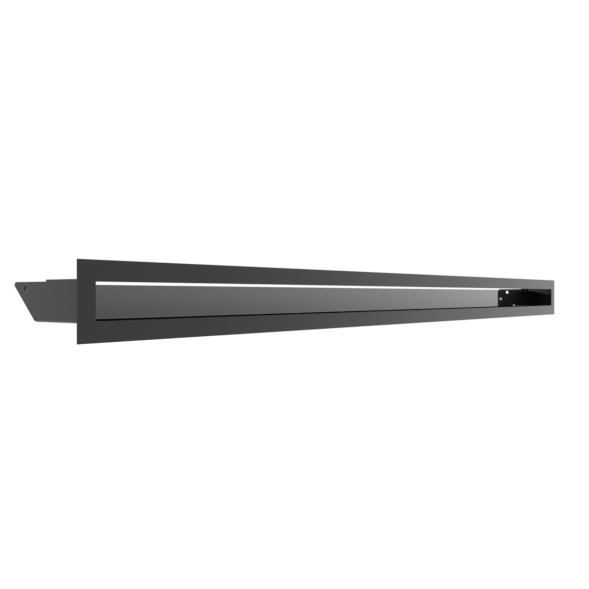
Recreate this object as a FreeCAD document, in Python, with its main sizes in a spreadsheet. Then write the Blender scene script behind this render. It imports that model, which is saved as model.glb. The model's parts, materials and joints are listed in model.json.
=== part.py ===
"""Slot vent grille for the breast of a fireplace, welded from three steel sheets.

Millimetres. The wall lies in the plane Y = 0, on the back of the front frame, and the
origin is the middle of the slot in that plane. +X runs along the grille, +Y goes into
the wall and +Z is up, so the room looks at the grille along +Y.
"""
import FreeCAD, Part
import math
import os
import Sketcher

# The driving dimensions: alias, value, what it measures
DRIVING = (
    ("frame_length", 1000.0, "front frame, overall length"),
    ("frame_height", 60.0, "front frame, overall height"),
    ("frame_border", 15.8, "front frame, border between its edge and the slot"),
    ("frame_sheet", 1.0, "front frame, sheet thickness"),
    ("frame_edge_round", 0.3, "front frame, rounding of the edges that face the room"),
    ("duct_sheet", 1.0, "duct, sheet thickness of tray and roof"),
    ("bend_inside", 1.0, "duct tray, inside radius of every fold"),
    ("end_margin", 2.8, "duct, from the slot's end to the inside of the end plate"),
    ("roof_margin", 1.1, "duct, from the slot's top edge up to the roof's underside"),
    ("floor_margin", 1.0, "duct, from the slot's lower edge down to the floor"),
    ("roof_depth", 54.3, "roof, from the wall plane to its rear edge"),
    ("floor_depth", 68.4, "floor, from the wall plane to the corner of the rear fold"),
    ("deflector_angle", 45.0, "deflector, rise above the floor in degrees"),
    ("deflector_gap", 1.8, "deflector, its top edge below the roof's underside"),
    ("deflector_seam", 0.3, "deflector, gap between its end and the end plate"),
    ("end_drop", 0.5, "end plates, top edge behind the roof, below its underside"),
    ("end_tip_drop", 2.7, "end plates, rear tip below the top edge behind the roof"),
    ("end_tip_cut", 1.5, "end plates, rear tip behind the top edge's rear end"),
    ("screw_hole", 5.0, "screw hole in each end plate, diameter"),
    ("screw_setback", 14.9, "screw hole, centre in front of the end plate's rear top corner"),
    ("screw_drop", 5.7, "screw hole, centre below the end plate's rear top edge"),
    ("relief_hole", 2.0, "corner relief where two folds meet, diameter"),
)


class Size:
    """A size as a number, to draw with, and as the expression that keeps it bound."""

    def __init__(self, number, text):
        self.number = number
        self.text = text

    def join(self, other, sign, work):
        if not isinstance(other, Size):
            other = Size(float(other), str(other))
        return Size(work(self.number, other.number), f"({self.text} {sign} {other.text})")

    def __add__(self, other):
        return self.join(other, "+", lambda a, b: a + b)

    def __sub__(self, other):
        return self.join(other, "-", lambda a, b: a - b)

    def __mul__(self, other):
        return self.join(other, "*", lambda a, b: a * b)

    def __truediv__(self, other):
        return self.join(other, "/", lambda a, b: a / b)

    def __neg__(self):
        return Size(-self.number, f"(-1 * {self.text})")

    def tan(self):
        return Size(math.tan(math.radians(self.number)), f"tan({self.text} * 1 deg)")

    def sin(self):
        return Size(math.sin(math.radians(self.number)), f"sin({self.text} * 1 deg)")

    def cos(self):
        return Size(math.cos(math.radians(self.number)), f"cos({self.text} * 1 deg)")


doc = FreeCAD.newDocument("slot_vent_grille")
values = doc.addObject("Spreadsheet::Sheet", "values")
cell = {}
for row, (alias, number, meaning) in enumerate(DRIVING, start=1):
    values.set(f"A{row}", meaning)
    values.set(f"B{row}", str(number))
    values.setAlias(f"B{row}", alias)
    cell[alias] = Size(number, f"values.{alias}")
doc.recompute()

# What follows from the driving dimensions: the slot, and the box that the duct fills
wall_plane = Size(0.0, "0")
slot_half_length = cell["frame_length"] / 2 - cell["frame_border"]
slot_half_height = cell["frame_height"] / 2 - cell["frame_border"]
end_inside = slot_half_length + cell["end_margin"]
end_outside = end_inside + cell["duct_sheet"]
duct_length = end_outside * 2
roof_underside = slot_half_height + cell["roof_margin"]
roof_top = roof_underside + cell["duct_sheet"]
floor_inside = -(slot_half_height + cell["floor_margin"])
floor_underside = floor_inside - cell["duct_sheet"]

# The rear fold, and the deflector that rises from it and ends square to its own faces
slope = cell["deflector_angle"]
bend_outside = cell["bend_inside"] + cell["duct_sheet"]
fold_start = cell["floor_depth"] - bend_outside * (slope / 2).tan()
fold_corner = cell["floor_depth"] - cell["duct_sheet"] * (slope / 2).tan()
deflector_top = roof_underside - cell["deflector_gap"]
deflector_reach = fold_corner + (deflector_top - floor_inside) / slope.tan()
lip_reach = deflector_reach + cell["duct_sheet"] * slope.sin()
lip_height = deflector_top - cell["duct_sheet"] * slope.cos()
deflector_width = (end_inside - cell["deflector_seam"]) * 2
end_rear_top = roof_underside - cell["end_drop"]
end_tip = end_rear_top - cell["end_tip_drop"]
end_reach = lip_reach - (lip_height - end_tip) / slope.tan()
end_corner = end_reach - cell["end_tip_cut"]
screw_depth = end_corner - cell["screw_setback"]
screw_height = end_rear_top - cell["screw_drop"]

# How far a cut runs past the sheet that it trims
overrun = cell["duct_sheet"] * 2


def new_body(label):
    body = doc.addObject("PartDesign::Body", label)
    body.Label = label
    return body


def origin_plane(body, role):
    return next(item for item in body.Origin.OriginFeatures if item.Role == role)


def new_sketch(body, role, name, offset=None):
    """A sketch on one of the body's own origin planes, or parallel to it at an offset."""
    sketch = body.newObject("Sketcher::SketchObject", name)
    sketch.AttachmentSupport = [(origin_plane(body, role), "")]
    sketch.MapMode = "FlatFace"
    if offset is not None:
        sketch.setExpression("AttachmentOffset.Base.z", offset.text)
    return sketch


def bind(sketch, kind, *where, size):
    """A dimension in the sketch, bound to the expression of its size."""
    index = sketch.addConstraint(Sketcher.Constraint(kind, *where, size.number))
    sketch.setExpression(f"Constraints[{index}]", size.text)


def place(sketch, line, across=None, up=None):
    """Hold the start of a line at its distance from the sketch's origin."""
    if across is not None:
        bind(sketch, "DistanceX", -1, 1, line, 1, size=across)
    if up is not None:
        bind(sketch, "DistanceY", -1, 1, line, 1, size=up)


def level(sketch, *lines):
    for line in lines:
        sketch.addConstraint(Sketcher.Constraint("Horizontal", line))


def upright(sketch, *lines):
    for line in lines:
        sketch.addConstraint(Sketcher.Constraint("Vertical", line))


def outline(sketch, corners):
    """Draw a closed outline of straight lines, with a tangent arc in each round corner.

    Each corner is (across, up, radius), and the radius of a sharp corner is None.
    Returns the lines, each numbered like the corner that it leaves.
    """
    points = [FreeCAD.Vector(across.number, up.number, 0) for across, up, radius in corners]
    count = len(points)
    arrive = []
    leave = []
    bends = []
    for i, (across, up, radius) in enumerate(corners):
        back = (points[i - 1] - points[i]).normalize()
        ahead = (points[(i + 1) % count] - points[i]).normalize()
        if radius is None:
            arrive.append(points[i])
            leave.append(points[i])
            bends.append(None)
            continue
        half = back.getAngle(ahead) / 2
        trim = radius.number / math.tan(half)
        nearest = radius.number / math.sin(half) - radius.number
        arrive.append(points[i] + back * trim)
        leave.append(points[i] + ahead * trim)
        inward = (back + ahead).normalize()
        bends.append(Part.Arc(arrive[i], points[i] + inward * nearest, leave[i]))
    lines = []
    for i in range(count):
        run = Part.LineSegment(leave[i], arrive[(i + 1) % count])
        lines.append(sketch.addGeometry(run))
    for i, (across, up, radius) in enumerate(corners):
        before = lines[i - 1]
        after = lines[i]
        if radius is None:
            sketch.addConstraint(Sketcher.Constraint("Coincident", before, 2, after, 1))
            continue
        arc = sketch.addGeometry(bends[i])
        turned = sketch.getPoint(arc, 1).distanceToPoint(arrive[i]) > radius.number / 100
        first, last = (2, 1) if turned else (1, 2)
        sketch.addConstraint(Sketcher.Constraint("Tangent", before, 2, arc, first))
        sketch.addConstraint(Sketcher.Constraint("Tangent", arc, last, after, 1))
        bind(sketch, "Radius", arc, size=radius)
    return lines


def rectangle(sketch, left, right, low, high):
    """A level rectangle, from the distances of its four sides from the sketch's origin."""
    corners = ((left, low, None), (right, low, None), (right, high, None), (left, high, None))
    bottom, right_side, top, left_side = outline(sketch, corners)
    level(sketch, bottom, top)
    upright(sketch, right_side, left_side)
    place(sketch, bottom, across=left, up=low)
    place(sketch, top, across=right, up=high)


def circle(sketch, across, up, diameter):
    centre = FreeCAD.Vector(across.number, up.number, 0)
    normal = FreeCAD.Vector(0, 0, 1)
    ring = sketch.addGeometry(Part.Circle(centre, normal, diameter.number / 2))
    bind(sketch, "DistanceX", -1, 1, ring, 3, size=across)
    bind(sketch, "DistanceY", -1, 1, ring, 3, size=up)
    bind(sketch, "Diameter", ring, size=diameter)


def pad(body, sketch, name, length, both_ways=False, reverse=False):
    feature = body.newObject("PartDesign::Pad", name)
    feature.Profile = sketch
    feature.setExpression("Length", length.text)
    feature.Midplane = both_ways
    feature.Reversed = reverse
    doc.recompute()
    return feature


def pocket(body, sketch, name, length, both_ways=False):
    """Cut the sketch out of the body, and see that the cut removes something."""
    before = body.Shape.Volume
    feature = body.newObject("PartDesign::Pocket", name)
    feature.Profile = sketch
    feature.setExpression("Length", length.text)
    feature.Midplane = both_ways
    doc.recompute()
    if body.Shape.Volume >= before:
        raise RuntimeError(f"{name} removes nothing")
    return feature


def make_front_frame():
    """The plate that the room sees, with the slot and softly rounded front edges."""
    body = new_body("front_frame")
    half_length = cell["frame_length"] / 2
    half_height = cell["frame_height"] / 2
    face = new_sketch(body, "XZ_Plane", "frame_face")
    rectangle(face, -half_length, half_length, -half_height, half_height)
    rectangle(face, -slot_half_length, slot_half_length, -slot_half_height, slot_half_height)
    plate = pad(body, face, "frame_plate", cell["frame_sheet"])
    front_edges = [
        f"Edge{i}"
        for i, edge in enumerate(plate.Shape.Edges, start=1)
        if edge.BoundBox.YMax < -plate.Length.Value / 2
    ]
    soft = body.newObject("PartDesign::Fillet", "front_edges")
    soft.Base = (plate, front_edges)
    soft.setExpression("Radius", cell["frame_edge_round"].text)
    doc.recompute()
    return body


def make_roof_plate():
    """A flat strip that lies on the end plates, against the back of the frame."""
    body = new_body("roof_plate")
    section = new_sketch(body, "YZ_Plane", "roof_section")
    rectangle(section, wall_plane, cell["roof_depth"], roof_underside, roof_top)
    pad(body, section, "roof_strip", duct_length, both_ways=True)
    return body


def fold_up_ends(tray):
    """The floor with an end plate folded up at each end, before its rear is trimmed."""
    section = new_sketch(tray, "XZ_Plane", "channel_section")
    corners = (
        (-end_outside, roof_underside, None),
        (-end_outside, floor_underside, bend_outside),
        (end_outside, floor_underside, bend_outside),
        (end_outside, roof_underside, None),
        (end_inside, roof_underside, None),
        (end_inside, floor_inside, cell["bend_inside"]),
        (-end_inside, floor_inside, cell["bend_inside"]),
        (-end_inside, roof_underside, None),
    )
    left_out, under, right_out, right_top, right_in, floor, left_in, left_top = outline(
        section, corners
    )
    upright(section, left_out, right_out, right_in, left_in)
    level(section, under, right_top, floor, left_top)
    place(section, left_out, across=-end_outside, up=roof_underside)
    place(section, under, up=floor_underside)
    place(section, right_top, across=end_outside, up=roof_underside)
    place(section, right_in, across=end_inside)
    place(section, floor, up=floor_inside)
    place(section, left_top, across=-end_inside)
    pad(tray, section, "channel", lip_reach + overrun, reverse=True)


def trim_side_outline(tray):
    """Trim the end plates, and the floor between them, to the outline seen from the side."""
    side = new_sketch(tray, "YZ_Plane", "side_outline")
    above = roof_underside + overrun
    below = floor_underside - overrun
    behind = lip_reach + overrun * 2
    floor_stop = fold_start - overrun
    corners = (
        (cell["roof_depth"], above, None),
        (cell["roof_depth"], end_rear_top, None),
        (end_corner, end_rear_top, None),
        (end_reach, end_tip, None),
        (cell["floor_depth"], floor_underside, bend_outside),
        (floor_stop, floor_underside, None),
        (floor_stop, below, None),
        (behind, below, None),
        (behind, above, None),
    )
    step, rear_top, cut_corner, slanted, under, drop, low, rear, high = outline(side, corners)
    upright(side, step, drop, rear)
    level(side, rear_top, under, low, high)
    place(side, step, across=cell["roof_depth"], up=above)
    place(side, rear_top, up=end_rear_top)
    place(side, cut_corner, across=end_corner)
    place(side, slanted, across=end_reach, up=end_tip)
    place(side, under, across=fold_start, up=floor_underside)
    place(side, drop, across=floor_stop)
    place(side, low, up=below)
    place(side, rear, across=behind)
    pocket(tray, side, "side_trim", duct_length + overrun, both_ways=True)
    rear_of_fold = new_sketch(tray, "YZ_Plane", "rear_of_fold")
    rectangle(rear_of_fold, fold_start, behind, below, above)
    pocket(tray, rear_of_fold, "floor_end", end_inside * 2, both_ways=True)


def fold_up_deflector(tray):
    """The deflector, folded up from the floor's rear edge and just clear of the ends."""
    section = new_sketch(tray, "YZ_Plane", "deflector_section")
    lap = fold_start - cell["duct_sheet"] / 10
    corners = (
        (lap, floor_underside, None),
        (cell["floor_depth"], floor_underside, bend_outside),
        (lip_reach, lip_height, None),
        (deflector_reach, deflector_top, None),
        (fold_corner, floor_inside, cell["bend_inside"]),
        (lap, floor_inside, None),
    )
    under, outer_face, lip, inner_face, floor, joint = outline(section, corners)
    level(section, under, floor)
    upright(section, joint)
    section.addConstraint(Sketcher.Constraint("Perpendicular", outer_face, lip))
    section.addConstraint(Sketcher.Constraint("Parallel", outer_face, inner_face))
    place(section, under, across=lap, up=floor_underside)
    bind(section, "DistanceX", -1, 1, under, 2, size=fold_start)
    place(section, lip, across=lip_reach, up=lip_height)
    bind(section, "Distance", lip, size=cell["duct_sheet"])
    place(section, floor, up=floor_inside)
    pad(tray, section, "deflector", deflector_width, both_ways=True)


def drill_screw_holes(tray):
    """One hole straight through both end plates, for a screw into the masonry."""
    hole = new_sketch(tray, "YZ_Plane", "screw_hole_centre")
    circle(hole, screw_depth, screw_height, cell["screw_hole"])
    pocket(tray, hole, "screw_holes", duct_length + overrun, both_ways=True)


def relieve_corners(tray):
    """A round relief at each rear corner, centred where the two folds begin."""
    corner = new_sketch(tray, "YZ_Plane", "relief_centre", offset=end_outside)
    circle(corner, fold_start, floor_underside + bend_outside, cell["relief_hole"])
    right = pocket(tray, corner, "right_relief", cell["relief_hole"])
    both = tray.newObject("PartDesign::Mirrored", "both_reliefs")
    both.Originals = [right]
    both.MirrorPlane = (origin_plane(tray, "YZ_Plane"), [""])
    tray.Tip = both
    doc.recompute()


def make_duct_tray():
    """One folded sheet: floor, deflector and the two end plates."""
    tray = new_body("duct_tray")
    fold_up_ends(tray)
    trim_side_outline(tray)
    fold_up_deflector(tray)
    drill_screw_holes(tray)
    relieve_corners(tray)
    return tray


pieces = [make_front_frame(), make_duct_tray(), make_roof_plate()]
doc.recompute()

for item in doc.Objects:
    if "Invalid" in item.State or "Error" in item.State:
        raise RuntimeError(f"{item.Name} failed: {item.State}")
for piece in pieces:
    shape = piece.Shape
    if shape.isNull() or not shape.isValid() or len(shape.Solids) != 1:
        raise RuntimeError(f"{piece.Label} is not one sound solid")

os.makedirs("parts", exist_ok=True)
for piece in pieces:
    piece.Shape.exportStep(f"parts/{piece.Label}.step")
    box = piece.Shape.BoundBox
    print(
        f"{piece.Label}: {box.XLength:.1f} x {box.YLength:.1f} x {box.ZLength:.1f} mm, "
        f"{piece.Shape.Volume / 1000:.1f} cm3"
    )
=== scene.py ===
# %% [markdown]
# # A slot vent grille for the breast of a fireplace
# The real thing is a long, low vent of welded steel sheet with a smooth, nearly black
# powder coat. A flat frame with one slot lies on the wall. Behind it a shallow duct has
# a floor, a roof and two end plates, and its rear wall rises at 45 degrees, to turn the
# warm air forwards. This lesson dresses the three sheets that the frame file brings.
# They already have their true shape, so the work goes into the coat, the small welds at
# the back and a studio that shows a dark, glossy coat well.

# %% Load the three sheets
import json
import math

import bmesh
import bpy
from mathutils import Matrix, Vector


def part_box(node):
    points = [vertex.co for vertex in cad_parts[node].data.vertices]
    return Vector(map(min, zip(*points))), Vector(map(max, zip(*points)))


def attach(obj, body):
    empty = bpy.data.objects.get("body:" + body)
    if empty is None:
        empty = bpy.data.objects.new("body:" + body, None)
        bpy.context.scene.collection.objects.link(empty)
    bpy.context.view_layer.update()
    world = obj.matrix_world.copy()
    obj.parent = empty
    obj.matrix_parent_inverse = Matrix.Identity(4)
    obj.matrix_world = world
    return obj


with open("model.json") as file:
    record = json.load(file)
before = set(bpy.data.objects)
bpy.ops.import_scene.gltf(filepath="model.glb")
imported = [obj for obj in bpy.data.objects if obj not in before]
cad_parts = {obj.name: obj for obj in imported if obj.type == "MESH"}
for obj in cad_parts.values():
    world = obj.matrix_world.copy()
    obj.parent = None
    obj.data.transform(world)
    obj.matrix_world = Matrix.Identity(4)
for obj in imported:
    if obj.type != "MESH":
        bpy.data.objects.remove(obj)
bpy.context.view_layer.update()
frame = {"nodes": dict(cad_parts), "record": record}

MM = 0.001
front_frame, duct_tray, roof_plate = (
    frame["nodes"][name] for name in ("front_frame", "duct_tray", "roof_plate")
)
print("sheets:", ", ".join(sorted(frame["nodes"])))

# %% [markdown]
# ## Shader maths as plain expressions
# A coat is built from nodes, and long chains of nodes are hard to read as code. Two small
# classes keep them short. `Value` wraps one output of a node, so that a sum or a product
# of it adds its own Math node. `Shader` holds the tree, and its method `node` adds a node
# of any kind: first its settings, then the values or links of its sockets. Its other
# methods are short names for the few kinds that come back often.

# %% Two helpers for node trees
class Value:
    """One output of a node, with the arithmetic of Math nodes."""

    def __init__(self, shader, socket):
        self.shader = shader
        self.socket = socket

    def __add__(self, other):
        return self.shader.math("ADD", self, other)

    def __radd__(self, other):
        return self.shader.math("ADD", other, self)

    def __sub__(self, other):
        return self.shader.math("SUBTRACT", self, other)

    def __rsub__(self, other):
        return self.shader.math("SUBTRACT", other, self)

    def __mul__(self, other):
        return self.shader.math("MULTIPLY", self, other)

    def __rmul__(self, other):
        return self.shader.math("MULTIPLY", other, self)

    def __abs__(self):
        return self.shader.math("ABSOLUTE", self)


class Shader:
    """A node tree, emptied first, and the one way to add a node to it."""

    def __init__(self, tree):
        self.tree = tree
        tree.nodes.clear()

    def node(self, kind, settings=None, sockets=None, output=0):
        made = self.tree.nodes.new(kind)
        for name, setting in (settings or {}).items():
            setattr(made, name, setting)
        for name, value in (sockets or {}).items():
            if isinstance(value, Value):
                self.tree.links.new(value.socket, made.inputs[name])
            else:
                made.inputs[name].default_value = value
        return Value(self, made.outputs[output]) if made.outputs else None

    def math(self, operation, first, second=0.0):
        return self.node("ShaderNodeMath", {"operation": operation}, {0: first, 1: second})

    def below(self, value, limit):
        """1 where the value lies under the limit, and 0 elsewhere."""
        return self.math("LESS_THAN", value, limit)

    def larger(self, first, second):
        """The larger of two masks."""
        return self.math("MAXIMUM", first, second)

    def fade(self, value, start, end, low=0.0, high=1.0):
        """A smooth step from low, where the value is start, to high, where it is end."""
        return self.node(
            "ShaderNodeMapRange",
            {"interpolation_type": "SMOOTHSTEP"},
            {"Value": value, "From Min": start, "From Max": end, "To Min": low, "To Max": high},
        )

    def axis(self, vector, name):
        """One part of a vector: X, Y or Z."""
        return self.node("ShaderNodeSeparateXYZ", sockets={"Vector": vector}, output=name)


def new_material(name):
    """A new material, and the helper for its node tree."""
    material = bpy.data.materials.new(name)
    material.use_nodes = True
    return material, Shader(material.node_tree)


print("helpers:", Value.__name__, Shader.__name__, new_material.__name__)

# %% [markdown]
# ## The powder coat
# Powder coat is sprayed on dry and melted in an oven. It flows into a smooth skin that is
# never quite flat: under a lamp it shows a faint ripple, called orange peel, about two
# millimetres from crest to crest, and a finer grain on top. Both go into one Bump node.
# The colour is a deep graphite, and nearly all that the eye sees is the coat's gloss, so
# the index of refraction and the roughness matter more than the colour. The film runs a
# little thicker in some places than in others, which a broad, faint noise gives to the
# colour and to the roughness. All of it reads Object coordinates, because the sheets
# carry no UV map, and because a pattern in real units has the same scale on every sheet.

# %% Coat the frame
GRAPHITE = 0.006
THIN_FILM = (0.85, 0.85, 0.87)
THICK_FILM = (1.15, 1.15, 1.18)
FILM_PITCH = 90 * MM
COAT_INDEX = 1.46
COAT_ROUGHNESS = 0.05
ROUGHNESS_SPREAD = 0.02
PEEL_PITCH = 2.2 * MM
PEEL_HEIGHT = 0.0012 * MM
GRAIN_PITCH = 0.5 * MM
GRAIN_SHARE = 0.2
# A Mix node has sockets of the same name for numbers and for colours: these are the colours.
MIX_FIRST, MIX_SECOND, MIX_RESULT = 6, 7, 2


def glossy_film(shader, place, shade):
    """A smooth powder coat, with orange peel, grain and a film of uneven thickness."""

    def noise(pitch, detail):
        return shader.node(
            "ShaderNodeTexNoise",
            sockets={"Vector": place, "Scale": 1 / pitch, "Detail": detail},
        )

    film = noise(FILM_PITCH, detail=2.0)
    peel = noise(PEEL_PITCH, detail=1.0)
    grain = noise(GRAIN_PITCH, detail=0.0)
    colour = shader.node(
        "ShaderNodeMix",
        {"data_type": "RGBA"},
        {
            "Factor": film,
            MIX_FIRST: [shade * share for share in THIN_FILM] + [1.0],
            MIX_SECOND: [shade * share for share in THICK_FILM] + [1.0],
        },
        output=MIX_RESULT,
    )
    relief = shader.node(
        "ShaderNodeBump",
        sockets={"Height": peel + GRAIN_SHARE * grain, "Strength": 1.0, "Distance": PEEL_HEIGHT},
    )
    return shader.node(
        "ShaderNodeBsdfPrincipled",
        sockets={
            "Base Color": colour,
            "Roughness": COAT_ROUGHNESS - ROUGHNESS_SPREAD / 2 + ROUGHNESS_SPREAD * film,
            "Normal": relief,
            "IOR": COAT_INDEX,
        },
    )


def dress(sheet, material):
    """Give the whole of a sheet one finish."""
    for slot in sheet.material_slots:
        slot.material = material


frame_coat, shader = new_material("frame_coat_finish")
place = shader.node("ShaderNodeTexCoord", output="Object")
shader.node("ShaderNodeOutputMaterial", sockets={"Surface": glossy_film(shader, place, GRAPHITE)})
dress(front_frame, frame_coat)
print("frame:", frame_coat.name)

# %% [markdown]
# ## Where the duct is dull
# Powder is charged, and it flies to the nearest metal. Little of it reaches the inside of a
# narrow channel, so there the film stays thin, dry and dull, and it takes up light instead
# of mirroring it. The slanted deflector faces the spray gun through the slot, so its face
# is as glossy as the frame. One mask holds all the dull places: the floor, the inner faces
# of the end plates and the underside of the roof. It is 1 for a point that lies inside the
# box of the duct and in front of the deflector. A second mask holds the upper walls of the
# two screw holes, which get a painted shade, darker still, as they face down into the dark
# duct. Most limits come from the boxes of the sheets and from the hole in the record, so
# they follow the size of the vent.

# %% Mark the dull places
SHEET = 1.0 * MM
SKIN = 0.1 * MM
DEFLECTOR_FOOT = 68.0 * MM
HOLE_FADE = (-1.5 * MM, 0.3 * MM)

tray_low, tray_high = (Vector(corner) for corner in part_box("duct_tray"))
roof_low, roof_high = (Vector(corner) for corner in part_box("roof_plate"))
end_face = tray_high.x - SHEET
floor_face = tray_low.z + SHEET
roof_face = roof_low.z
mounts = {mount["name"]: mount for mount in frame["record"]["mounts"]}
screw = mounts["right_screw_hole"]
screw_place = Vector(screw["pos_m"])
screw_radius = screw["dims"]["r_mm"] * MM

duct_coat, shader = new_material("duct_coat_and_painted_light")
place = shader.node("ShaderNodeTexCoord", output="Object")
along, depth, height = (shader.axis(place, name) for name in "XYZ")
off_middle = abs(along)
before_deflector = depth - height
deflector_limit = DEFLECTOR_FOOT - floor_face - SHEET / 2
inside = (
    shader.below(off_middle, end_face + SKIN)
    * shader.below(floor_face - SKIN, height)
    * shader.below(height, roof_face + SKIN)
    * shader.below(before_deflector, deflector_limit)
)
# The upper wall of each screw hole, which gets painted shade further down.
back = depth - screw_place.y
up = height - screw_place.z
hole_wall = shader.below(back * back + up * up, (screw_radius + SKIN) ** 2)
hole_wall = hole_wall * shader.fade(up, *HOLE_FADE)
dull_place = shader.larger(inside, hole_wall)
print(f"dull between the floor at {floor_face / MM:.1f} mm and the roof at {roof_face / MM:.1f} mm")

# %% [markdown]
# ## Where light is painted on the dull film
# Next to the slot a wedge of each end plate is much lighter: a painted reflection of the
# white room, seen through the slot. Its lower border falls towards the frame in a shallow
# curve, and it ends 41 mm in. Three thin, lighter lines on each end plate are painted light
# too: highlights on the fold at its foot and along the joint with the deflector, and light
# from the open top on the rim under the roof. Each of them is a mask, worked out from the
# depth behind the wall and the height in the duct. A picture painted on the plates would do
# as well, but a few named sizes are easier to read and to change.

# %% Mark the lighter places
WEDGE_FOOT = 3.4 * MM
WEDGE_RISE = 0.273
WEDGE_BEND = 2.05
WEDGE_EDGE = 0.6 * MM
WEDGE_REACH = (41.2 * MM, 40.2 * MM)
FOLD_FADE = (39 * MM, 46 * MM)
RIM_RISE = (9.0 * MM, 14.5 * MM)
JOINT_WIDTH = 3.0 * MM

on_floor = shader.below(height, floor_face + SKIN)
on_end = shader.below(end_face - SKIN, off_middle)
in_wedge_depth = shader.fade(depth, *WEDGE_REACH)
wedge_border = WEDGE_FOOT + depth * (WEDGE_RISE - WEDGE_BEND * depth)
# The wedge on each end plate that gets a painted reflection of the white room.
painted_reflection_wedge = on_end * shader.fade(height - wedge_border, 0.0, WEDGE_EDGE) * in_wedge_depth
# Where the fold at the foot of each end plate gets a painted highlight.
on_fold = (
    shader.below(end_face - SHEET, off_middle)
    * shader.below(height, floor_face + SHEET)
    * shader.fade(depth, *FOLD_FADE)
)
# Where the rim under the roof gets painted light from the open top.
on_rim = on_end * (1.0 - in_wedge_depth) * shader.fade(height, *RIM_RISE)
# Where the joint with the deflector gets a painted highlight.
at_joint = on_end * shader.fade(before_deflector, deflector_limit - JOINT_WIDTH, deflector_limit)
print(f"the wedge ends {WEDGE_REACH[0] / MM:.0f} mm behind the wall's face")

# %% [markdown]
# ## How light the dull film is
# The film's colour carries painted light and shade. The floor is darker all over, a painted
# shade deep in the duct. The end plates get lighter towards the open rear and a little
# towards the slot: painted light from these openings, with painted shade in between. The
# wedge is made lighter with the depth, because less light falls there and it has to look
# almost even. All of this adds up to one shade, the base colour of a rough film that has no
# gloss. A Mix Shader lays that film over the glossy coat, wherever the mask says so.

# %% Coat the duct, glossy outside and dull inside
# A lighter copy of the frame's graphite: painted light, which lifts the end plates and the
# deflector.
LIT_DUCT_GRAPHITE = 0.017
DULL_SHADED_FRONT = 0.0105
DULL_LIT_REAR = 0.027
REAR_LIGHT_FADE = (48 * MM, 90 * MM)
SLOT_PAINTED_LIGHT = 0.006
SLOT_FADE = (22 * MM, 0.0)
FLOOR_SHADE_SHARE = 0.6
HOLE_SHADE_SHARE = 0.1
FOLD_HIGHLIGHT_GAIN = 5.5
JOINT_HIGHLIGHT_GAIN = 1.5
RIM_PAINTED_LIGHT = (0.07, 0.024)
RIM_FADE = (46 * MM, 54 * MM)
WEDGE_PAINTED_REFLECTION = 0.045
WEDGE_REFLECTION_GAIN = 5.8

# Painted shade under the roof, going over to painted light towards the open rear.
shade = shader.fade(depth, *REAR_LIGHT_FADE, DULL_SHADED_FRONT, DULL_LIT_REAR)
# Painted light near the slot.
shade = shade + shader.fade(depth, *SLOT_FADE, 0.0, SLOT_PAINTED_LIGHT)
# Painted shade on the floor.
shade = shade * (1.0 - (1.0 - FLOOR_SHADE_SHARE) * on_floor)
# Painted highlights on the folds and along the joints.
shade = shade * (1.0 + (FOLD_HIGHLIGHT_GAIN - 1.0) * on_fold) * (1.0 + (JOINT_HIGHLIGHT_GAIN - 1.0) * at_joint)
# Painted light on the rim under the roof.
shade = shade + shader.fade(depth, *RIM_FADE, *RIM_PAINTED_LIGHT) * on_rim
# Painted reflection of the white room in the wedge, made lighter with the depth.
shade = shade + (WEDGE_PAINTED_REFLECTION + WEDGE_REFLECTION_GAIN * depth) * painted_reflection_wedge
# Painted shade on the upper walls of the screw holes.
shade = shade * (1.0 - (1.0 - HOLE_SHADE_SHARE) * hole_wall)

dull_film = shader.node(
    "ShaderNodeBsdfPrincipled",
    sockets={
        "Base Color": shader.node(
            "ShaderNodeCombineColor", sockets={"Red": shade, "Green": shade, "Blue": shade}
        ),
        "Roughness": 1.0,
        "Specular IOR Level": 0.0,
    },
)
glossy = glossy_film(shader, place, LIT_DUCT_GRAPHITE)
coat = shader.node("ShaderNodeMixShader", sockets={0: dull_place, 1: glossy, 2: dull_film})
shader.node("ShaderNodeOutputMaterial", sockets={"Surface": coat})
dress(duct_tray, duct_coat)
dress(roof_plate, duct_coat)
print("duct:", duct_coat.name)

# %% [markdown]
# ## The welds at the back
# Nothing shows from the room of how the sheets hold together. At the back short welds do
# it: the roof and the floor are stitched to the rear of the frame every 150 mm. A weld bead
# is a row of small overlapping ripples in the corner between two sheets. It could be a row
# of flattened balls, but those would cut through each other. Here the outline of the whole
# bead is drawn once, from end to end, and spun about its own axis, which gives one closed
# skin. The axis runs in the very corner, so a quarter of the bead shows and the rest lies
# inside the metal, as the root of a real weld does. The beads are thin, because the duct
# has to slide into a cut-out that is hardly higher than the duct itself.

# %% Weld the roof and the floor to the frame
WELD_LENGTH = 20 * MM
WELD_SPACING = 150 * MM
WELDS_A_SIDE = 3
BEAD_RADIUS = 0.7 * MM
RIPPLE = 0.09 * MM
RIPPLE_PITCH = 1.2 * MM
OUTLINE_STEPS = 96
RIM_POINTS = 16
MERGE_DISTANCE = 0.001 * MM


def bead_radius(run):
    """The bead's radius at a distance from its middle: rippled, and rounded at the ends."""
    from_end = WELD_LENGTH / 2 - abs(run)
    short = max(0.0, 1.0 - from_end / BEAD_RADIUS)
    rounded = math.sqrt(max(0.0, 1.0 - short * short))
    return (BEAD_RADIUS - RIPPLE * abs(math.sin(math.pi * run / RIPPLE_PITCH))) * rounded


def add_bead(shape, middle):
    """Spin the outline of one bead, which lies along X, about the bead's own axis."""
    runs = [WELD_LENGTH * (i / OUTLINE_STEPS - 0.5) for i in range(OUTLINE_STEPS + 1)]
    points = [shape.verts.new(middle + Vector((run, 0.0, bead_radius(run)))) for run in runs]
    edges = [shape.edges.new(pair) for pair in zip(points, points[1:])]
    bmesh.ops.spin(
        shape,
        geom=points + edges,
        cent=middle,
        axis=(1.0, 0.0, 0.0),
        angle=math.tau,
        steps=RIM_POINTS,
        use_merge=True,
    )


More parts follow.
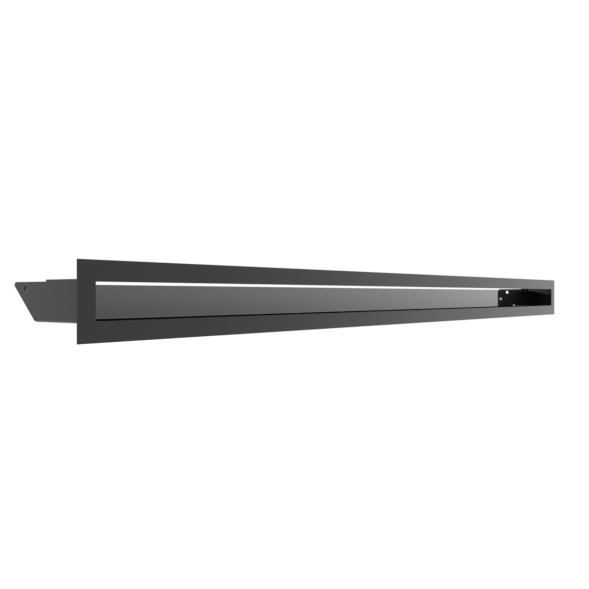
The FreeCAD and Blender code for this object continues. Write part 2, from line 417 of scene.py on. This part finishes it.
def weld_row(name, height):
    """A row of beads along the rear of the frame, at the height of one corner."""
    shape = bmesh.new()
    for i in range(-WELDS_A_SIDE, WELDS_A_SIDE + 1):
        add_bead(shape, Vector((i * WELD_SPACING, 0.0, height)))
    bmesh.ops.remove_doubles(shape, verts=shape.verts, dist=MERGE_DISTANCE)
    bmesh.ops.recalc_face_normals(shape, faces=shape.faces)
    for face in shape.faces:
        face.smooth = True
    mesh = bpy.data.meshes.new(name)
    shape.to_mesh(mesh)
    shape.free()
    mesh.materials.append(duct_coat)
    welds = bpy.data.objects.new(name, mesh)
    bpy.context.collection.objects.link(welds)
    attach(welds, "root")
    print(f"{name}: {len(mesh.polygons)} faces")


weld_row("roof_welds", roof_high.z)
weld_row("floor_welds", tray_low.z)

# %% [markdown]
# ## A white studio
# A dark gloss shows its surroundings more than its own colour. The photograph's vent hangs
# in plain white, so the world is an even white. Many lamps round the vent could do the
# same, but each would show in the gloss as a patch. The world is a little brighter far to
# the right, which the frame mirrors at a flat angle. The camera itself sees plain white
# everywhere.

# %% Surround the vent with white
WORLD_LEVEL = 1.0
RIGHT_GLOW = 0.28
RIGHT_GLOW_FADE = (0.70, 1.0)


def grey(level):
    """A grey as a colour socket takes it, with full alpha."""
    return (level, level, level, 1.0)


world = bpy.data.worlds.new("white_studio")
bpy.context.scene.world = world
world.use_nodes = True
studio = Shader(world.node_tree)
direction = studio.node("ShaderNodeTexCoord", output="Generated")
rightwards = studio.axis(direction, "X")
glow = studio.fade(rightwards, *RIGHT_GLOW_FADE, 0.0, RIGHT_GLOW)
unseen = 1.0 - studio.node("ShaderNodeLightPath", output="Is Camera Ray")
white = studio.node(
    "ShaderNodeBackground",
    sockets={"Color": grey(1.0), "Strength": WORLD_LEVEL + glow * unseen},
)
studio.node("ShaderNodeOutputWorld", sockets={"Surface": white})
print(f"world: {WORLD_LEVEL:.2f}, and up to {WORLD_LEVEL + RIGHT_GLOW:.2f} far to the right")

# %% [markdown]
# ## The studio floor
# Such a vent sits at chest height, so the floor lies well below it. It could be a shining
# white sheet, but that would light the vent from below. So it is a pale, matt sheet, which
# still takes the shadow of the vent. It shows a little brighter than it is to the camera, in
# mirrors and through glass, which makes it as white as the world behind it.

# %% Lay the floor
FLOOR_DROP = 1.2
FLOOR_SIZE = 30.0
FLOOR_WHITE = 0.8
FLOOR_LIFT = 0.3


def flat_panel(name, left, right, front, rear, height):
    """A level rectangle that faces down or up, as a floor or a soft box."""
    mesh = bpy.data.meshes.new(name)
    shape = bmesh.new()
    bmesh.ops.create_grid(shape, x_segments=1, y_segments=1, size=0.5)
    bmesh.ops.scale(shape, vec=(right - left, rear - front, 1.0), verts=shape.verts)
    middle = Vector(((left + right) / 2, (front + rear) / 2, height))
    bmesh.ops.translate(shape, vec=middle, verts=shape.verts)
    shape.to_mesh(mesh)
    shape.free()
    panel = bpy.data.objects.new(name, mesh)
    bpy.context.collection.objects.link(panel)
    return panel


floor_half = FLOOR_SIZE / 2
floor = flat_panel("studio_floor", -floor_half, floor_half, -floor_half, floor_half, -FLOOR_DROP)
pale_floor, shader = new_material("pale_floor")
seen = (
    shader.node("ShaderNodeLightPath", output="Is Camera Ray")
    + shader.node("ShaderNodeLightPath", output="Is Glossy Ray")
    + shader.node("ShaderNodeLightPath", output="Is Transmission Ray")
)
lift = shader.node("ShaderNodeEmission", sockets={"Strength": FLOOR_LIFT * seen})
pale = shader.node("ShaderNodeBsdfDiffuse", sockets={"Color": grey(FLOOR_WHITE)})
both = shader.node("ShaderNodeAddShader", sockets={0: pale, 1: lift})
shader.node("ShaderNodeOutputMaterial", sockets={"Surface": both})
floor.data.materials.append(pale_floor)
print(f"floor: {FLOOR_DROP} m below the vent")

# %% [markdown]
# ## The soft box
# In the photograph the deflector is lighter at its top than at its foot, so a soft box
# hangs over the rear of the vent. Its front edge fades out right above the deflector, so
# the deflector mirrors it at its top and less and less towards its foot. It is weaker to
# the right, where the camera's flat angle makes the coat mirror more. It could be a lamp,
# but a transparent sheet that glows keeps the white world behind it and only adds to it.

# %% Hang the soft box
BOX_HEIGHT = 0.9
BOX_LEFT, BOX_RIGHT, BOX_REAR = -0.8, 3.2, 1.2
BOX_FADE = (0.002, 0.102)
BOX_GLOW_LEFT = 0.40
BOX_GLOW_RIGHT = 0.21
BOX_GLOW_FADE = (0.4, 1.8)

soft_box = flat_panel("soft_box", BOX_LEFT, BOX_RIGHT, BOX_FADE[0], BOX_REAR, BOX_HEIGHT)
box_glow, shader = new_material("soft_box_glow")
place = shader.node("ShaderNodeTexCoord", output="Object")
along, depth = (shader.axis(place, name) for name in "XY")
strength = shader.fade(depth, *BOX_FADE) * shader.fade(
    along, *BOX_GLOW_FADE, BOX_GLOW_LEFT, BOX_GLOW_RIGHT
)
lamp = shader.node("ShaderNodeEmission", sockets={"Strength": strength})
clear = shader.node("ShaderNodeBsdfTransparent")
both = shader.node("ShaderNodeAddShader", sockets={0: lamp, 1: clear})
shader.node("ShaderNodeOutputMaterial", sockets={"Surface": both})
soft_box.data.materials.append(box_glow)
print(f"soft box: glow {BOX_GLOW_LEFT:.2f} at the left, {BOX_GLOW_RIGHT:.2f} at the right")

# %% [markdown]
# ## The camera
# The photograph looks at the vent from its left, level with the slot, and close enough for
# the far end to look much smaller than the near one. The place, the turn and the lens were
# worked out from the corners and edges that it shows: the camera stands level, so upright
# edges stay upright in the picture.

# %% Set up the camera
CAMERA_PLACE = Vector((-0.818225, -0.436663, 0.004985))
CAMERA_TURN = math.radians(37.572)
RIGHT_ANGLE = math.radians(90)
PICTURE_SIZE = 589
FOCAL_PIXELS = 742.933

camera_data = bpy.data.cameras.new("photo_camera")
camera_data.lens = FOCAL_PIXELS / PICTURE_SIZE * camera_data.sensor_width
camera = bpy.data.objects.new("photo_camera", camera_data)
bpy.context.collection.objects.link(camera)
camera.location = CAMERA_PLACE
camera.rotation_euler = (RIGHT_ANGLE, 0.0, CAMERA_TURN - RIGHT_ANGLE)
bpy.context.scene.camera = camera
bpy.context.scene.view_settings.view_transform = "Standard"
print(f"lens {camera_data.lens:.2f} mm")
